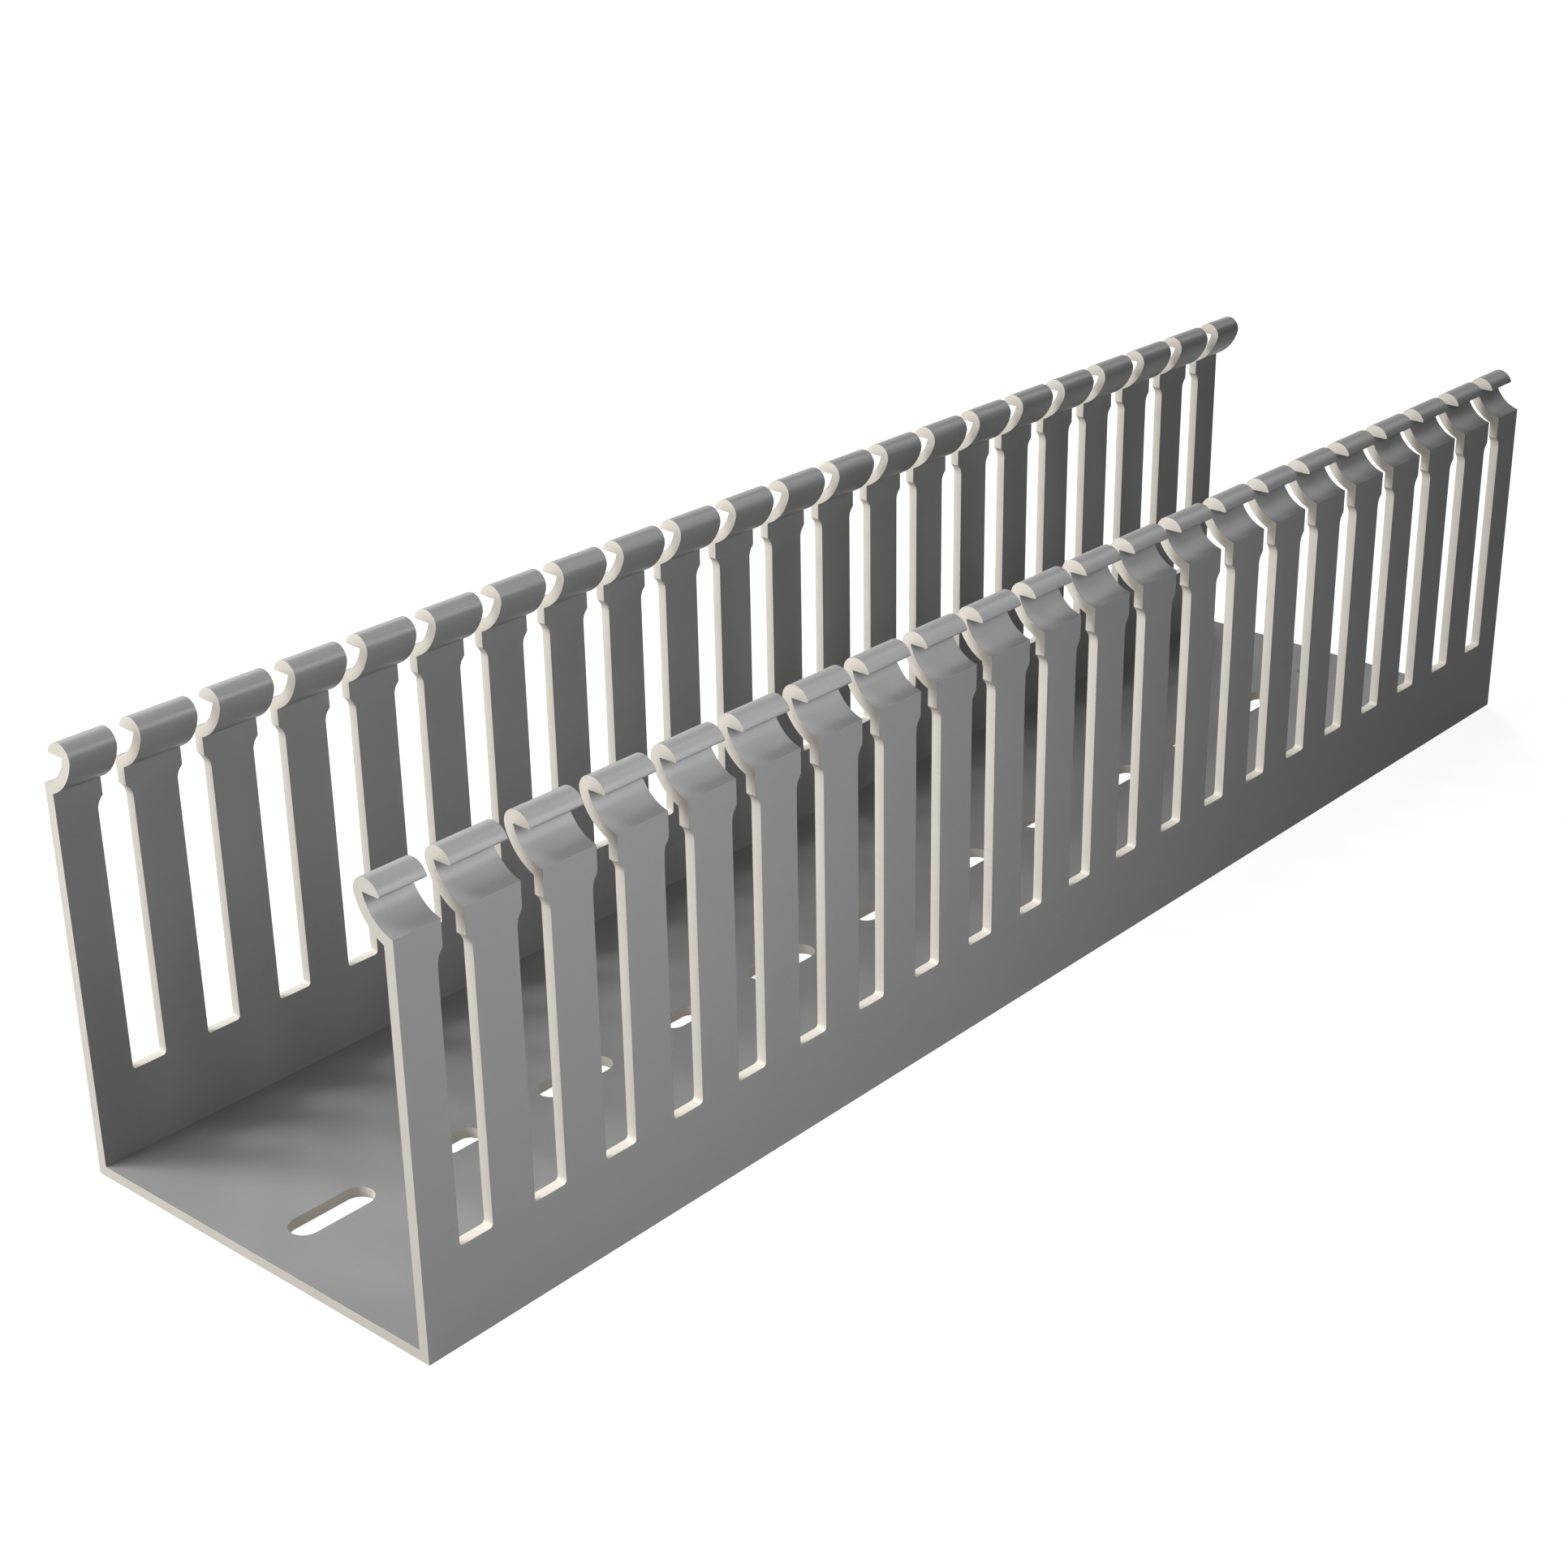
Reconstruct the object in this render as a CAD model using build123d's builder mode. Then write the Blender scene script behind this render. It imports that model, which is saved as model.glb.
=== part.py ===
# Slotted wire duct: the base of a rigid plastic trunking for cabinet wiring.
# A U-shaped channel is extruded in one piece, its side walls are punched into a
# comb of fingers, and each finger ends in a curled lip that the cover snaps over.
# X runs along the duct, Y across it and Z up. The origin is the middle of the
# underside, and lengths are in millimetres.

from build123d import *
import os
from math import sqrt

# Channel
duct_length = 300.0
duct_width = 75.0
duct_height = 73.1
wall = 1.8
floor = 1.8

# Curled lip: a strip as thick as the wall bends inwards round a centre just outside
# the wall, and its head turns back over the groove as a barb
bend_centre_outside = 1.5
bend_centre_below_top = 0.6
groove_radius = 7.0
head_radius = 2.35
nose_radius = 2.9
barb_underside_below_top = 2.2
barb_tip_blunt = 0.25

# Cable slots, punched straight across both walls and open at the top
slot_pitch = 14.0
slot_width = 6.1
slot_bottom = 15.8
slot_corner_round = 0.65
mouth_width = 4.0
mouth_depth = 11.7
shoulder_round = 2.5
least_end_finger = 3.0

# Mounting slots along the middle of the floor, long and short ones by turns
mounting_pitch = 50.0
first_long_from_end = 14.3
long_slot_length = 15.1
long_slot_width = 5.2
short_slot_length = 8.4
short_slot_width = 4.3
least_end_web = 2.0

# Places across and up the section, on the +Y wall
half_width = duct_width / 2
wall_inside = half_width - wall
inner_radius = groove_radius + wall
bend_centre = Vector(half_width + bend_centre_outside, duct_height - bend_centre_below_top)
groove_start = Vector(
    half_width, bend_centre.Y - sqrt(groove_radius**2 - bend_centre_outside**2)
)
bend_end = Vector(
    wall_inside, bend_centre.Y - sqrt(inner_radius**2 - (bend_centre_outside + wall) ** 2)
)

# The head's inner arc carries on from the bend without a kink and tops out at the height
head_offset = inner_radius - head_radius
head_dip = (bend_centre.Y + head_radius - duct_height) / head_offset
to_head = Vector(-sqrt(1 - head_dip**2), -head_dip)
head_centre = bend_centre + to_head * head_offset
head_start = bend_centre + to_head * inner_radius
head_top = Vector(head_centre.X, duct_height)

# The nose falls from the head's top to the barb's tip, and the barb is level underneath
barb_level = duct_height - barb_underside_below_top
nose_drop = barb_level - (duct_height - nose_radius)
barb_tip = Vector(head_top.X + sqrt(nose_radius**2 - nose_drop**2), barb_level)
groove_rise = bend_centre.Y - barb_level
groove_end = Vector(bend_centre.X - sqrt(groove_radius**2 - groove_rise**2), barb_level)

# Whole slots only: the comb is centred, and the mounting slots start at the near end
slot_room = duct_length - slot_width - 2 * least_end_finger
slot_count = int(slot_room // slot_pitch) + 1
near_end = -duct_length / 2
first_long = first_long_from_end
first_short = first_long_from_end + mounting_pitch / 2


def mounting_places(first, slot_length):
    """Distances along X of the mounting slots that fit, a pitch apart."""
    room = duct_length - first - slot_length / 2 - least_end_web
    count = int(room // mounting_pitch) + 1
    return [near_end + first + i * mounting_pitch for i in range(count)]


# One cable slot, drawn across and up from the middle of its foot's level
with BuildSketch() as cable_slot:
    shoulder_rise = (slot_width - mouth_width) / 2
    shoulder_top = duct_height - mouth_depth
    above_lip = duct_height + wall
    with BuildLine():
        Polyline(
            (0, slot_bottom),
            (slot_width / 2, slot_bottom),
            (slot_width / 2, shoulder_top - shoulder_rise),
            (mouth_width / 2, shoulder_top),
            (mouth_width / 2, above_lip),
            (0, above_lip),
            close=True,
        )
    make_face()
    side_corners = cable_slot.vertices().group_by(Axis.X)[-1].sort_by(Axis.Y)
    fillet(side_corners[0], slot_corner_round)
    fillet(side_corners[-1], shoulder_round)
    mirror(about=Plane.YZ)

with BuildPart() as wire_duct:
    # The channel with its lips, drawn as half a section and extruded
    with BuildSketch(Plane.YZ.offset(near_end)) as section:
        with BuildLine():
            Line((0, floor), (0, 0))
            Line((0, 0), (half_width, 0))
            Line((half_width, 0), groove_start)
            RadiusArc(groove_start, groove_end, groove_radius)
            Line(groove_end, barb_tip)
            RadiusArc(barb_tip, head_top, -nose_radius)
            RadiusArc(head_top, head_start, -head_radius)
            RadiusArc(head_start, bend_end, -inner_radius)
            Line(bend_end, (wall_inside, floor))
            Line((wall_inside, floor), (0, floor))
        make_face()
        chamfer(section.vertices().sort_by_distance(barb_tip)[0], barb_tip_blunt)
        mirror(about=Plane.YZ)
    extrude(amount=duct_length)

    # The comb of cable slots, through both walls and out through the lips
    with BuildSketch(Plane.XZ) as comb:
        with GridLocations(slot_pitch, slot_pitch, slot_count, 1):
            add(cable_slot.sketch)
    extrude(amount=duct_width, both=True, mode=Mode.SUBTRACT)

    # The mounting slots through the floor
    with BuildSketch(Plane.XY) as mounting_slots:
        with Locations([(x, 0) for x in mounting_places(first_long, long_slot_length)]):
            SlotOverall(long_slot_length, long_slot_width)
        with Locations([(x, 0) for x in mounting_places(first_short, short_slot_length)]):
            SlotOverall(short_slot_length, short_slot_width)
    extrude(amount=floor, mode=Mode.SUBTRACT)

wire_duct.part.label = "wire_duct"

os.makedirs("parts", exist_ok=True)
export_step(wire_duct.part, "parts/wire_duct.step")
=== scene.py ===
# Slotted wire duct: the base of a rigid plastic trunking for cabinet wiring.
# The duct is one extrusion. Its section is drawn with real arcs and drawn out along X,
# then the cable slots and the mounting slots are punched out of it in even rows.
# The skin is smooth grey plastic, and the punched and sawn faces are pale.

from math import atan2, ceil, cos, pi, radians, sin, sqrt, tan

import bmesh
import bpy
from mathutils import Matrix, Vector


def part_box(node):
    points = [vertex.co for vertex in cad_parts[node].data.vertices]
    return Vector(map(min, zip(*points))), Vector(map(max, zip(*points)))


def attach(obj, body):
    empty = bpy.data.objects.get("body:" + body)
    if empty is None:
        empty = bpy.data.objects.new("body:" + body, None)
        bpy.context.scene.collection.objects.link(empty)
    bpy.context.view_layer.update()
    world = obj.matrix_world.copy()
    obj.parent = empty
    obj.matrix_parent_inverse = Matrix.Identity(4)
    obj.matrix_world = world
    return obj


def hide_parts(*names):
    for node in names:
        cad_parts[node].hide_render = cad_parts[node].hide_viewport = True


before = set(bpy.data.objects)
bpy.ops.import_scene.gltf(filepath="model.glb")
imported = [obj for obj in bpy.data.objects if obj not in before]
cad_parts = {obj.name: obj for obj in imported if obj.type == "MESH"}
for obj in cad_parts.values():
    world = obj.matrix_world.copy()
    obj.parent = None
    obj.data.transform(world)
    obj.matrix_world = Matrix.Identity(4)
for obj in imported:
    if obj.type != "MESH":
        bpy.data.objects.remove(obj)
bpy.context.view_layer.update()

mm = 0.001

# Channel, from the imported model's box
low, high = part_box("wire_duct")
near_end = low.x
duct_length = high.x - low.x
duct_width = high.y - low.y
duct_height = high.z - low.z
wall = 1.8 * mm
floor = 1.8 * mm

# Curled lip: a strip as thick as the wall bends inwards round a centre just outside
# the wall, and its head turns back over the groove as a barb
bend_centre_outside = 1.5 * mm
bend_centre_below_top = 0.6 * mm
groove_radius = 7.0 * mm
head_radius = 2.35 * mm
nose_radius = 2.9 * mm
barb_underside_below_top = 2.2 * mm
barb_tip_radius = 0.25 * mm

# Cable slots, open at the top
slot_count = 21
slot_pitch = 14.0 * mm
slot_width = 6.1 * mm
slot_bottom = 15.8 * mm
slot_corner_radius = 0.65 * mm
mouth_width = 4.0 * mm
mouth_depth = 11.7 * mm
shoulder_radius = 2.5 * mm

# Mounting slots along the middle of the floor, long and short ones by turns
mounting_pitch = 50.0 * mm
mounting_count = 6
first_long_from_end = 14.3 * mm
long_slot_length = 15.1 * mm
long_slot_width = 5.2 * mm
short_slot_length = 8.4 * mm
short_slot_width = 4.3 * mm

# Drawing: the turn between two points of an arc, how far a punch stands out of the plastic,
# the angle up to which an edge shades smooth, and the gap that a weld closes
arc_step = radians(3)
punch_overrun = 2.0 * mm
smooth_below = radians(30)
weld_distance = 0.001 * mm

# Skin: its colour and roughness from least to most, its gloss, the depth of its marks, and
# the levels of noise at which a rub starts and is full
skin_dark = (0.294, 0.294, 0.294)
skin_pale = (0.306, 0.306, 0.306)
skin_roughness = (0.32, 0.40)
skin_gloss = 0.1
die_line_depth = 0.003 * mm
pore_depth = 0.0006 * mm
rub_levels = (0.70, 0.78)

# Cut faces, in the same way
cut_dark = (0.70, 0.66, 0.59)
cut_pale = (0.76, 0.72, 0.65)
cut_roughness = (0.54, 0.66)
cut_gloss = 0.3
tool_mark_depth = 0.008 * mm

# Studio floor: its size and place, its own glow near the duct, the white that the lamps add
# to it, and the colour in which it throws light back at the duct
floor_reach = 4000 * mm
floor_gap = 0.05 * mm
floor_glow = 0.9
floor_white = (0.3, 0.3, 0.3)
floor_throw = (0.12, 0.12, 0.12)

# Round soft lamps: the place, the point looked at and the radius, all in metres, and the
# share of its own colour that the lamp gives to a surface at the origin that faces it. The
# gloss lamps show only as highlights, and the fill lamps make none.
duct_middle = (0.0, 0.0, 0.03)
near_half = (-0.1, 0.0, 0.03)
before_near_end = (-0.45, 0.0, 0.03)
lamps = [
    ("front_lamp", (-0.12, -0.20, 0.19), near_half, 0.05, 0.24),
    ("low_front_lamp", (-0.06, -0.30, 0.08), before_near_end, 0.06, 0.38),
    ("end_lamp", (-0.6, 0.2, 0.25), duct_middle, 0.20, 0.42),
    ("back_lamp", (-0.4, 0.35, 0.5), duct_middle, 0.10, 0.50),
    ("top_lamp", (-0.25, 0.1, 0.6), duct_middle, 0.09, 0.15),
]
gloss_lamps = [
    ("low_gloss_lamp", (0.42, -0.73, 0.47), duct_middle, 0.25, 1.8),
    ("high_gloss_lamp", (0.664, -0.242, 0.707), duct_middle, 0.30, 0.9),
    ("back_gloss_lamp", (0.35, 0.75, 0.50), duct_middle, 0.25, 0.2),
]
fill_lamps = [
    ("far_end_lamp", (0.5, 0.45, 0.3), duct_middle, 0.15, 0.45),
]

# Camera: where the photograph was taken from, and its lens on a 36 mm sensor
camera_place = Vector((-340.5, -276.7, 225.3)) * mm
camera_azimuth = radians(-50.31)
camera_elevation = radians(24.46)
camera_lens = 61.52
camera_shift = (-0.0654, -0.0079)
camera_nearest = 10 * mm


def arc(centre, start, end):
    """Points from start to just before end, round the centre the shorter way."""
    arm, last = start - centre, end - centre
    first_angle = atan2(arm.y, arm.x)
    turn = (atan2(last.y, last.x) - first_angle + pi) % (2 * pi) - pi
    steps = ceil(abs(turn) / arc_step)
    angles = [first_angle + turn * i / steps for i in range(steps)]
    return [centre + arm.length * Vector((cos(a), sin(a))) for a in angles]


def rounded(corners):
    """An outline of (x, y, radius) corners, with an arc at each corner that has a radius."""
    points = []
    for i, (x, y, radius) in enumerate(corners):
        corner = Vector((x, y))
        before = (Vector(corners[i - 1][:2]) - corner).normalized()
        after = (Vector(corners[(i + 1) % len(corners)][:2]) - corner).normalized()
        if not radius:
            points.append(corner)
            continue
        half_angle = before.angle(after) / 2
        setback = radius / tan(half_angle)
        centre = corner + (before + after).normalized() * radius / sin(half_angle)
        end = corner + after * setback
        points += arc(centre, corner + before * setback, end) + [end]
    return points


def lip_outline():
    """The +Y wall's outer face, lip and inner face, from the bottom up and down again.

    The wall has a point at the slots' foot, which parts the fingers from the base.
    """
    outside, inside = duct_width / 2, duct_width / 2 - wall
    bend = Vector((outside + bend_centre_outside, duct_height - bend_centre_below_top))
    inner_radius = groove_radius + wall
    groove_start = Vector((outside, bend.y - sqrt(groove_radius**2 - (bend.x - outside) ** 2)))
    bend_end = Vector((inside, bend.y - sqrt(inner_radius**2 - (bend.x - inside) ** 2)))

    # The head's inner arc carries on from the bend and tops out at the duct's height
    head_offset = inner_radius - head_radius
    head_dip = (bend.y + head_radius - duct_height) / head_offset
    to_head = Vector((-sqrt(1 - head_dip**2), -head_dip))
    head = bend + to_head * head_offset
    head_start = bend + to_head * inner_radius
    head_top = Vector((head.x, duct_height))

    # The barb is level underneath, and its tip is rounded into the nose
    barb_level = duct_height - barb_underside_below_top
    groove_end = Vector((bend.x - sqrt(groove_radius**2 - (bend.y - barb_level) ** 2), barb_level))
    nose = Vector((head_top.x, duct_height - nose_radius))
    tip_rise = barb_level + barb_tip_radius - nose.y
    tip_reach = sqrt((nose_radius - barb_tip_radius) ** 2 - tip_rise**2)
    tip = Vector((nose.x + tip_reach, barb_level + barb_tip_radius))
    tip_start = Vector((tip.x, barb_level))
    tip_end = nose + (tip - nose).normalized() * nose_radius

    points = [Vector((outside, 0.0)), Vector((outside, slot_bottom))]
    points += arc(bend, groove_start, groove_end) + [groove_end]
    points += arc(tip, tip_start, tip_end)
    points += arc(nose, tip_end, head_top)
    points += arc(head, head_top, head_start)
    points += arc(bend, head_start, bend_end) + [bend_end]
    return points + [Vector((inside, slot_bottom)), Vector((inside, floor))]


def channel_outline():
    """The duct's section across and up, both walls and the floor."""
    far_side = lip_outline()
    near_side = [Vector((-p.x, p.y)) for p in reversed(far_side)]
    return far_side + near_side


def cable_slot_outline():
    """One cable slot along and up, open past the top of the lips."""
    half_slot, half_mouth = slot_width / 2, mouth_width / 2
    shoulder_top = duct_height - mouth_depth
    shoulder_foot = shoulder_top - (half_slot - half_mouth)
    above = duct_height + punch_overrun
    right_side = [
        (half_slot, slot_bottom, slot_corner_radius),
        (half_slot, shoulder_foot, shoulder_radius),
        (half_mouth, shoulder_top, 0),
        (half_mouth, above, 0),
    ]
    left_side = [(-x, z, radius) for x, z, radius in reversed(right_side)]
    return rounded(right_side + left_side)


def mounting_slot_outline(length, width):
    """One mounting slot along and across, with round ends."""
    ends, sides = length / 2, width / 2
    corners = [(ends, sides), (-ends, sides), (-ends, -sides), (ends, -sides)]
    return rounded([(x, y, sides) for x, y in corners])


def face_object(name, points, towards):
    """An object of one flat face that looks the given way."""
    drawing = bmesh.new()
    face = drawing.faces.new([drawing.verts.new(p) for p in points])
    face.normal_update()
    if face.normal.dot(towards) < 0:
        face.normal_flip()
    mesh = bpy.data.meshes.new(name)
    drawing.to_mesh(mesh)
    drawing.free()
    made = bpy.data.objects.new(name, mesh)
    bpy.context.scene.collection.objects.link(made)
    return made


def add(tree, kind, inputs=None, **settings):
    """Adds a node: an input is linked to a socket, or set to a plain value."""
    made = tree.nodes.new(kind)
    for name, value in settings.items():
        setattr(made, name, value)
    for name, value in (inputs or {}).items():
        for part in value if isinstance(value, list) else [value]:
            if isinstance(part, bpy.types.NodeSocket):
                tree.links.new(part, made.inputs[name])
            else:
                made.inputs[name].default_value = part
    return made


def vector(tree, x=0.0, y=0.0, z=0.0):
    """A vector from plain values or sockets."""
    return add(tree, "ShaderNodeCombineXYZ", {"X": x, "Y": y, "Z": z}).outputs["Vector"]


def drawn_face(tree, drawing):
    """The flat face of a drawing's object."""
    inputs = {"Object": drawing}
    return add(tree, "GeometryNodeObjectInfo", inputs).outputs["Geometry"]


def marked(tree, mesh, mark, value):
    """Stores a yes or no on each face."""
    inputs = {"Geometry": mesh, "Name": mark, "Value": value}
    kind = "GeometryNodeStoreNamedAttribute"
    return add(tree, kind, inputs, data_type="BOOLEAN", domain="FACE").outputs["Geometry"]


def prism(tree, face, along, ends_mark=None):
    """A closed solid: a flat face drawn out along a vector, with its ends marked if asked."""
    drawn_out = {"Mesh": face, "Offset": along, "Individual": False}
    moved = add(tree, "GeometryNodeExtrudeMesh", drawn_out)
    start = add(tree, "GeometryNodeFlipFaces", {"Mesh": face})
    sides, closing = moved.outputs["Mesh"], start.outputs["Mesh"]
    if ends_mark:
        sides = marked(tree, sides, ends_mark, moved.outputs["Top"])
        closing = marked(tree, closing, ends_mark, True)
    both = add(tree, "GeometryNodeJoinGeometry", {"Geometry": [closing, sides]})
    welded = {"Geometry": both.outputs["Geometry"], "Distance": weld_distance}
    return add(tree, "GeometryNodeMergeByDistance", welded).outputs["Geometry"]


def row_of(tree, solid, count, first, pitch):
    """Copies of a solid in an even row along X, made real."""
    row = {"Count": count, "Start Location": vector(tree, first), "Offset": vector(tree, pitch)}
    points = add(tree, "GeometryNodeMeshLine", row).outputs["Mesh"]
    inputs = {"Points": points, "Instance": solid}
    copies = add(tree, "GeometryNodeInstanceOnPoints", inputs).outputs["Instances"]
    return add(tree, "GeometryNodeRealizeInstances", {"Geometry": copies}).outputs["Geometry"]


def punched(tree, solid, punches):
    """The solid with the punches cut out of it."""
    inputs = {"Mesh 1": solid, "Mesh 2": punches}
    kind = "GeometryNodeMeshBoolean"
    return add(tree, kind, inputs, operation="DIFFERENCE", solver="MANIFOLD").outputs["Mesh"]


def smoothed(tree, mesh):
    """Round stretches shade smooth, and true edges stay crisp."""
    angle = add(tree, "GeometryNodeInputMeshEdgeAngle").outputs["Unsigned Angle"]
    crisp = add(tree, "FunctionNodeCompare", {"A": angle, "B": smooth_below}).outputs["Result"]
    faces = {"Geometry": mesh, "Shade Smooth": True}
    mesh = add(tree, "GeometryNodeSetShadeSmooth", faces, domain="FACE").outputs["Geometry"]
    edges = {"Geometry": mesh, "Selection": crisp, "Shade Smooth": False}
    return add(tree, "GeometryNodeSetShadeSmooth", edges, domain="EDGE").outputs["Geometry"]


def coated(tree, mesh, mark, material):
    """Gives a material to the marked faces, or to all of them."""
    inputs = {"Geometry": mesh, "Material": material}
    if mark:
        named = {"Name": mark}
        found = add(tree, "GeometryNodeInputNamedAttribute", named, data_type="BOOLEAN")
        inputs["Selection"] = found.outputs["Attribute"]
    return add(tree, "GeometryNodeSetMaterial", inputs).outputs["Geometry"]


def duct_tree():
    """The tree that draws out the channel and punches its rows of slots."""
    tree = bpy.data.node_groups.new("extruded and punched duct", "GeometryNodeTree")
    sockets = {
        "Section": "NodeSocketObject",
        "Cable slot": "NodeSocketObject",
        "Long mounting slot": "NodeSocketObject",
        "Short mounting slot": "NodeSocketObject",
        "Length": "NodeSocketFloat",
        "Punch through walls": "NodeSocketFloat",
        "Punch through floor": "NodeSocketFloat",
        "Slot count": "NodeSocketInt",
        "Slot pitch": "NodeSocketFloat",
        "First slot": "NodeSocketFloat",
        "Mounting count": "NodeSocketInt",
        "Mounting pitch": "NodeSocketFloat",
        "First long slot": "NodeSocketFloat",
        "First short slot": "NodeSocketFloat",
        "Skin": "NodeSocketMaterial",
        "Punched walls": "NodeSocketMaterial",
        "Punched floor": "NodeSocketMaterial",
        "Sawn ends": "NodeSocketMaterial",
    }
    for name, kind in sockets.items():
        tree.interface.new_socket(name, in_out="INPUT", socket_type=kind)
    tree.interface.new_socket("Duct", in_out="OUTPUT", socket_type="NodeSocketGeometry")
    given = tree.nodes.new("NodeGroupInput").outputs

    along = vector(tree, given["Length"])
    channel = prism(tree, drawn_face(tree, given["Section"]), along, "sawn")

    across = vector(tree, y=given["Punch through walls"])
    cable_punch = prism(tree, drawn_face(tree, given["Cable slot"]), across)
    count, first, pitch = given["Slot count"], given["First slot"], given["Slot pitch"]
    row = row_of(tree, cable_punch, count, first, pitch)
    punches = [marked(tree, row, "wall cut", True)]

    down = vector(tree, z=given["Punch through floor"])
    count, pitch = given["Mounting count"], given["Mounting pitch"]
    for size in ("Long", "Short"):
        floor_punch = prism(tree, drawn_face(tree, given[f"{size} mounting slot"]), down)
        first = given[f"First {size.lower()} slot"]
        row = row_of(tree, floor_punch, count, first, pitch)
        punches.append(marked(tree, row, "floor cut", True))
    all_punches = add(tree, "GeometryNodeJoinGeometry", {"Geometry": punches}).outputs["Geometry"]

    duct = smoothed(tree, punched(tree, channel, all_punches))
    duct = add(tree, "GeometryNodeRealizeInstances", {"Geometry": duct}).outputs["Geometry"]
    duct = coated(tree, duct, None, given["Skin"])
    duct = coated(tree, duct, "wall cut", given["Punched walls"])
    duct = coated(tree, duct, "floor cut", given["Punched floor"])
    duct = coated(tree, duct, "sawn", given["Sawn ends"])
    out = tree.nodes.new("NodeGroupOutput")
    tree.links.new(duct, out.inputs["Duct"])
    return tree


def set_inputs(modifier, values):
    """Sets a tree's inputs on its modifier, by the sockets' identifiers."""
    for socket in modifier.node_group.interface.items_tree:
        if socket.in_out == "INPUT":
            modifier[socket.identifier] = values[socket.name]


def plain_mesh(shaped, name):
    """A new object of the finished mesh, without its modifiers or its empty material slots."""
    evaluated = bpy.context.evaluated_depsgraph_get()
    mesh = bpy.data.meshes.new_from_object(
        shaped.evaluated_get(evaluated), preserve_all_data_layers=True, depsgraph=evaluated
    )
    while mesh.materials[0] is None:
        mesh.materials.pop(index=0)
    made = bpy.data.objects.new(name, mesh)
    bpy.context.scene.collection.objects.link(made)
    return made


def make_duct(skin, wall_cut, floor_cut, sawn_end):
    """The whole duct as one plain mesh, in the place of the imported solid."""
    walls_start = -duct_width / 2 - punch_overrun
    floor_start = floor + punch_overrun
    section = [(near_end, p.x, p.y) for p in channel_outline()]
    cable_slot = [(p.x, walls_start, p.y) for p in cable_slot_outline()]
    long_outline = mounting_slot_outline(long_slot_length, long_slot_width)
    short_outline = mounting_slot_outline(short_slot_length, short_slot_width)
    long_slot = [(p.x, p.y, floor_start) for p in long_outline]
    short_slot = [(p.x, p.y, floor_start) for p in short_outline]
    drawings = {
        "Section": face_object("section", section, Vector((1, 0, 0))),
        "Cable slot": face_object("cable slot", cable_slot, Vector((0, 1, 0))),
        "Long mounting slot": face_object("long slot", long_slot, Vector((0, 0, -1))),
        "Short mounting slot": face_object("short slot", short_slot, Vector((0, 0, -1))),
    }
    sizes = {
        "Length": duct_length,
        "Punch through walls": duct_width + 2 * punch_overrun,
        "Punch through floor": -floor - 2 * punch_overrun,
        "Slot count": slot_count,
        "Slot pitch": slot_pitch,
        "First slot": -(slot_count - 1) * slot_pitch / 2,
        "Mounting count": mounting_count,
        "Mounting pitch": mounting_pitch,
        "First long slot": near_end + first_long_from_end,
        "First short slot": near_end + first_long_from_end + mounting_pitch / 2,
    }
    finishes = {
        "Skin": skin,
        "Punched walls": wall_cut,
        "Punched floor": floor_cut,
        "Sawn ends": sawn_end,
    }

    shaped = bpy.data.objects.new("shaped duct", bpy.data.meshes.new("shaped duct"))
    bpy.context.scene.collection.objects.link(shaped)
    shaping = shaped.modifiers.new("shape", "NODES")
    shaping.node_group = duct_tree()
    set_inputs(shaping, {**drawings, **sizes, **finishes})
    flat_faces_first = shaped.modifiers.new("flat faces shade flat", "WEIGHTED_NORMAL")
    flat_faces_first.keep_sharp = True
    duct = plain_mesh(shaped, "slotted_duct")
    for helper in [shaped, *drawings.values()]:
        bpy.data.objects.remove(helper)
    return duct


def grain(tree, place, spot, detail=2.0, turn=(0.0, 0.0, 0.0)):
    """Noise from 0 to 1 with spots so long, deep and high, turned where asked."""
    inputs = {"Vector": place, "Rotation": turn, "Scale": spot}
    laid = add(tree, "ShaderNodeMapping", inputs, vector_type="TEXTURE").outputs["Vector"]
    noise = {"Vector": laid, "Scale": 1.0, "Detail": detail}
    return add(tree, "ShaderNodeTexNoise", noise).outputs["Fac"]


def spread(tree, value, least, most, start=0.3, end=0.7):
    """Stretches a value between start and end, where most noise lies, to least and most."""
    inputs = {"Value": value, "From Min": start, "From Max": end, "To Min": least, "To Max": most}
    return add(tree, "ShaderNodeMapRange", inputs).outputs["Result"]


def summed(tree, shares):
    """Values added up, each by its own weight."""
    total = 0.0
    for value, weight in shares:
        inputs = {0: value, 1: weight, 2: total}
        total = add(tree, "ShaderNodeMath", inputs, operation="MULTIPLY_ADD").outputs["Value"]
    return total


def tinted(tree, share, first, second):
    """A colour between two others."""
    inputs = {"Fac": share, "Color1": (*first, 1), "Color2": (*second, 1)}
    return add(tree, "ShaderNodeMixRGB", inputs).outputs["Color"]


def plastic(name, gloss):
    """A new material, its nodes and shader, and the place that its patterns follow."""
    material = bpy.data.materials.new(name)
    material.use_nodes = True
    tree = material.node_tree
    shader = tree.nodes["Principled BSDF"]
    shader.inputs["Specular IOR Level"].default_value = gloss
    return material, tree, shader, add(tree, "ShaderNodeTexCoord").outputs["Object"]


def dressed(tree, shader, colour, roughness, height):
    """Links a colour, a roughness and a height in metres to a shader."""
    relief = add(tree, "ShaderNodeBump", {"Height": height, "Distance": 1.0})
    tree.links.new(colour, shader.inputs["Base Color"])
    tree.links.new(roughness, shader.inputs["Roughness"])
    tree.links.new(relief.outputs["Normal"], shader.inputs["Normal"])


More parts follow.
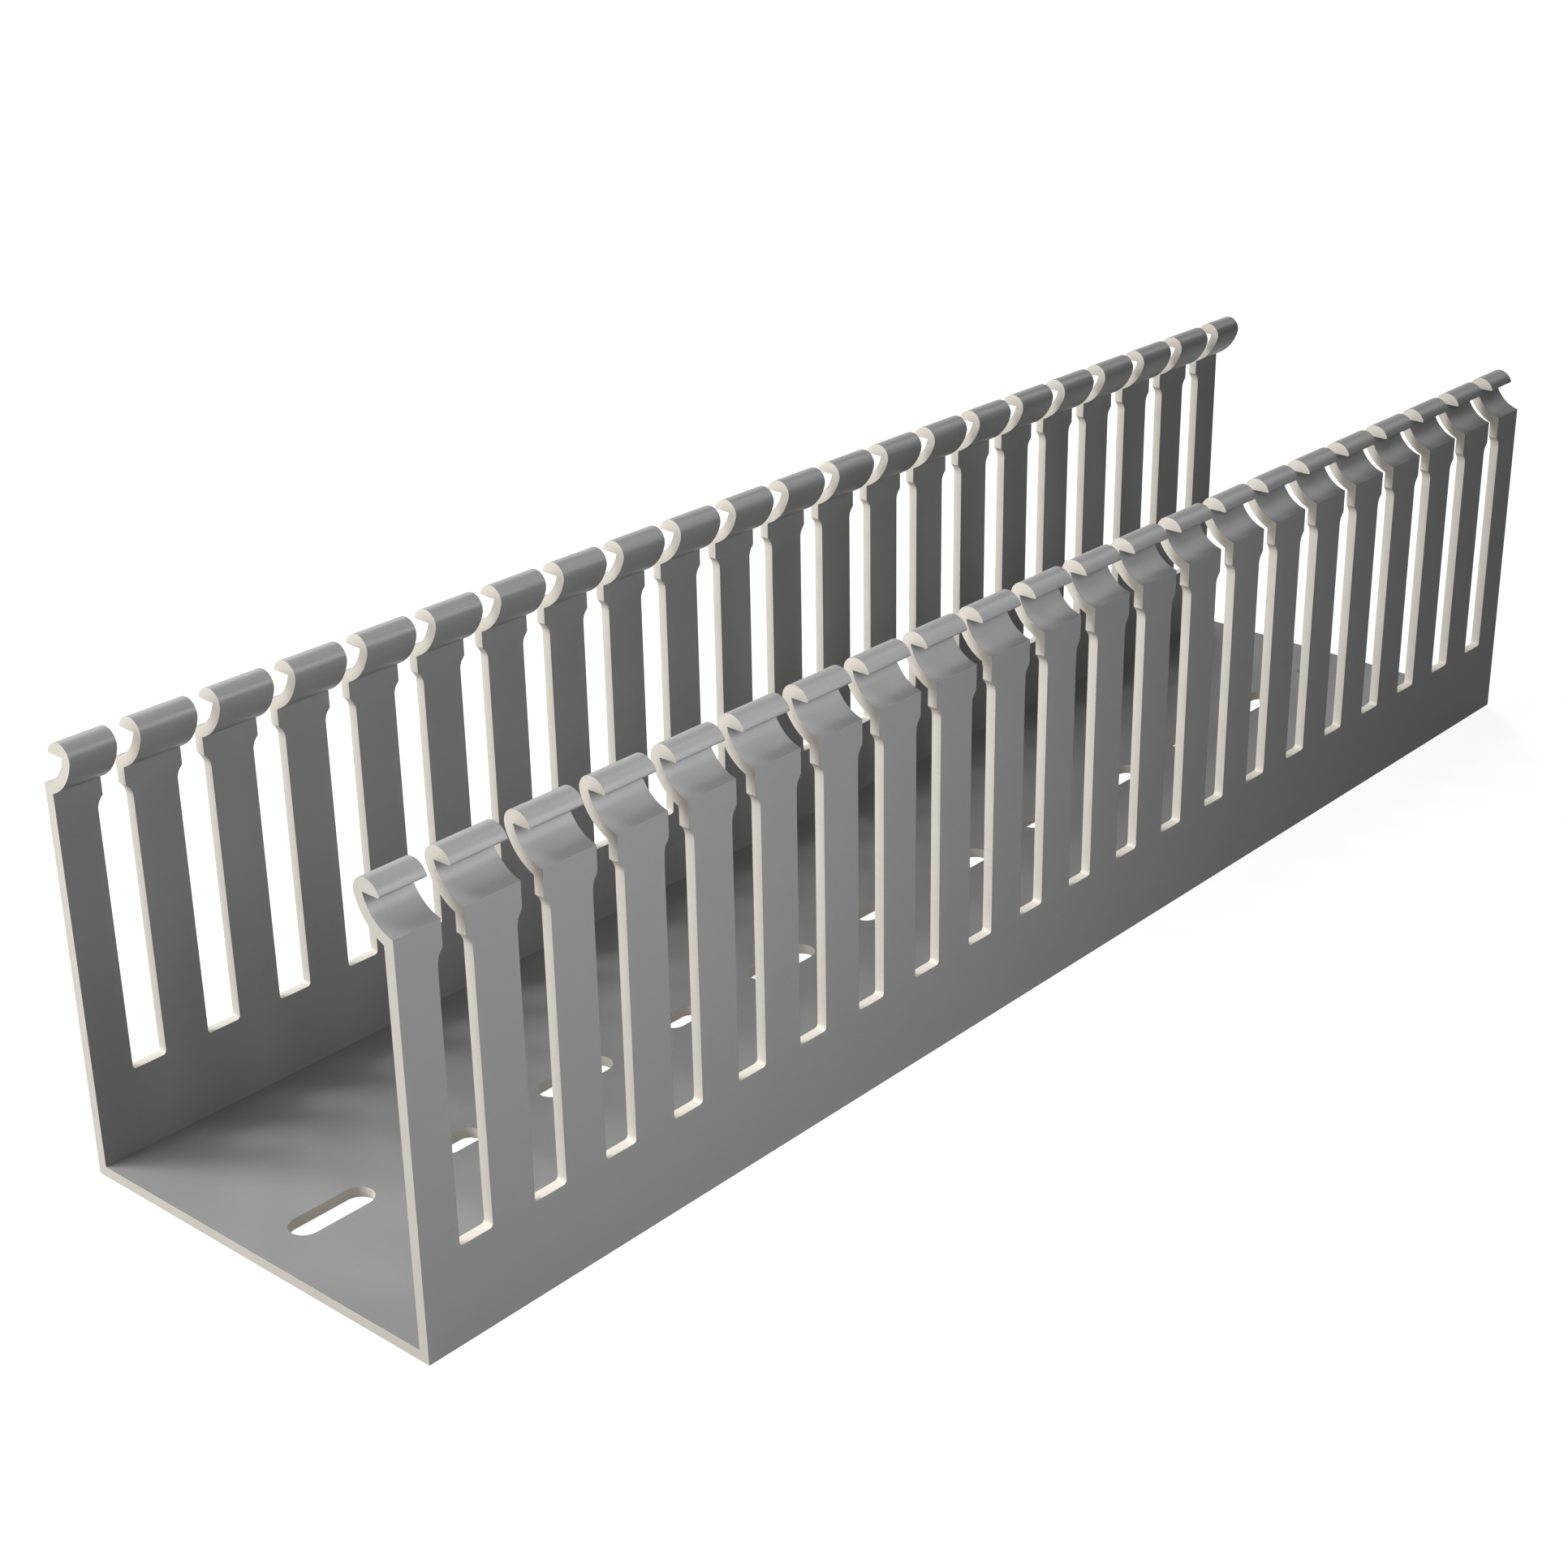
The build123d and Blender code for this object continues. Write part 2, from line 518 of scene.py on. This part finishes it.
def extruded_skin():
    """Satin grey plastic, with the fine lines that the die leaves along it, and light rubs."""
    material, tree, shader, place = plastic("grey_pvc_skin", skin_gloss)
    die_lines = grain(tree, place, (400 * mm, 0.8 * mm, 0.8 * mm), detail=3.0)
    drawn_bands = grain(tree, place, (250 * mm, 9 * mm, 9 * mm))
    clouds = grain(tree, place, (14 * mm, 10 * mm, 10 * mm))
    pores = grain(tree, place, (0.22 * mm, 0.22 * mm, 0.22 * mm), detail=1.0)
    rubbed = grain(tree, place, (22 * mm, 0.3 * mm, 0.3 * mm), turn=(0.0, radians(7), radians(4)))
    rubs = spread(tree, rubbed, 0.0, 1.0, *rub_levels)

    shade = summed(tree, [(die_lines, 0.35), (drawn_bands, 0.3), (clouds, 0.35), (rubs, 0.5)])
    colour = tinted(tree, spread(tree, shade, 0.0, 1.0), skin_dark, skin_pale)
    sheen = summed(tree, [(drawn_bands, 0.4), (clouds, 0.4), (pores, 0.2), (rubs, 0.4)])
    roughness = spread(tree, sheen, *skin_roughness)
    height = summed(tree, [(die_lines, die_line_depth), (pores, pore_depth)])
    dressed(tree, shader, colour, roughness, height)
    return material


def cut_plastic(name, spot, turn=(0.0, 0.0, 0.0)):
    """Pale cut plastic, whose tool marks are as long, deep and high as a spot."""
    material, tree, shader, place = plastic(name, cut_gloss)
    marks = grain(tree, place, spot, detail=3.0, turn=turn)
    clouds = grain(tree, place, (5 * mm, 5 * mm, 5 * mm))
    shade = summed(tree, [(marks, 0.6), (clouds, 0.4)])
    colour = tinted(tree, spread(tree, shade, 0.0, 1.0), cut_dark, cut_pale)
    roughness = spread(tree, marks, *cut_roughness)
    dressed(tree, shader, colour, roughness, summed(tree, [(marks, tool_mark_depth)]))
    return material


def seen_directly(tree):
    """1 for what the camera sees itself, in a gloss or through glass, and 0 for other light."""
    path = add(tree, "ShaderNodeLightPath").outputs
    rays = [path["Is Camera Ray"], path["Is Glossy Ray"], path["Is Transmission Ray"]]
    found = rays[0]
    for ray in rays[1:]:
        either = {0: found, 1: ray}
        found = add(tree, "ShaderNodeMath", either, operation="MAXIMUM").outputs["Value"]
    return found


def make_floor():
    """A plain white floor that keeps the duct's shadow, and throws little light back at it."""
    corners = [(-floor_reach, -floor_reach), (floor_reach, -floor_reach)]
    corners += [(floor_reach, floor_reach), (-floor_reach, floor_reach)]
    stage = face_object("stage_floor", [(x, y, -floor_gap) for x, y in corners], Vector((0, 0, 1)))
    material = bpy.data.materials.new("stage_white")
    material.use_nodes = True
    tree = material.node_tree
    tree.nodes.clear()
    thrown = add(tree, "ShaderNodeBsdfDiffuse", {"Color": (*floor_throw, 1)}).outputs["BSDF"]
    lit = add(tree, "ShaderNodeBsdfDiffuse", {"Color": (*floor_white, 1)}).outputs["BSDF"]

    # The floor's own white is full far away, where the lamps add little to it
    place = add(tree, "ShaderNodeTexCoord").outputs["Object"]
    away = add(tree, "ShaderNodeVectorMath", {0: place}, operation="LENGTH").outputs["Value"]
    own_white = spread(tree, away, floor_glow, 1.0, duct_length, 3 * duct_length)
    glow = add(tree, "ShaderNodeEmission", {"Strength": own_white}).outputs["Emission"]
    white = add(tree, "ShaderNodeAddShader", {0: glow, 1: lit}).outputs["Shader"]

    shares = {0: seen_directly(tree), 1: thrown, 2: white}
    seen = add(tree, "ShaderNodeMixShader", shares).outputs["Shader"]
    add(tree, "ShaderNodeOutputMaterial", {"Surface": seen})
    stage.data.materials.append(material)


def make_world():
    """A white surround for the camera and for gloss, which gives no other light."""
    world = bpy.data.worlds.new("studio")
    bpy.context.scene.world = world
    world.use_nodes = True
    tree = world.node_tree
    tree.nodes.clear()
    white = {"Color": (1.0, 1.0, 1.0, 1.0), "Strength": seen_directly(tree)}
    surround = add(tree, "ShaderNodeBackground", white).outputs["Background"]
    add(tree, "ShaderNodeOutputWorld", {"Surface": surround})


def make_lamp(name, place, aim, radius, level, lights=True, gleams=True):
    """A soft round lamp that the camera doesn't see, for plain light, highlights or both."""
    lamp = bpy.data.objects.new(name, bpy.data.lights.new(name, "AREA"))
    bpy.context.scene.collection.objects.link(lamp)
    back = Vector(place) - Vector(aim)
    lamp.location = place
    lamp.rotation_euler = back.to_track_quat("Z", "Y").to_euler()
    lamp.data.shape = "DISK"
    lamp.data.size = 2 * radius
    # A plain surface at the origin that faces the lamp shows its colour times the level
    lamp.data.energy = level * pi**2 * Vector(place).length_squared
    lamp.visible_camera = False
    lamp.visible_diffuse = lights
    lamp.visible_glossy = gleams


def make_camera():
    """The camera at the photograph's place, looking the photograph's way."""
    camera = bpy.data.objects.new("camera", bpy.data.cameras.new("camera"))
    bpy.context.scene.collection.objects.link(camera)
    level = cos(camera_elevation)
    sideways, forwards = sin(camera_azimuth) * level, cos(camera_azimuth) * level
    back = Vector((sideways, -forwards, sin(camera_elevation)))
    camera.location = camera_place
    camera.rotation_euler = back.to_track_quat("Z", "Y").to_euler()
    camera.data.lens = camera_lens
    camera.data.shift_x, camera.data.shift_y = camera_shift
    camera.data.clip_start = camera_nearest
    bpy.context.scene.camera = camera


wall_cut = cut_plastic("punched_wall_pvc", (0.25 * mm, 6 * mm, 0.25 * mm))
floor_cut = cut_plastic("punched_floor_pvc", (0.25 * mm, 0.25 * mm, 6 * mm))
sawn_end = cut_plastic("sawn_pvc", (1 * mm, 7 * mm, 0.22 * mm), turn=(radians(18), 0.0, 0.0))
duct = make_duct(extruded_skin(), wall_cut, floor_cut, sawn_end)
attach(duct, "root")
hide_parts("wire_duct")

make_floor()
make_world()
for lamp in lamps:
    make_lamp(*lamp)
for lamp in gloss_lamps:
    make_lamp(*lamp, lights=False)
for lamp in fill_lamps:
    make_lamp(*lamp, gleams=False)
make_camera()
bpy.context.scene.view_settings.view_transform = "Standard"
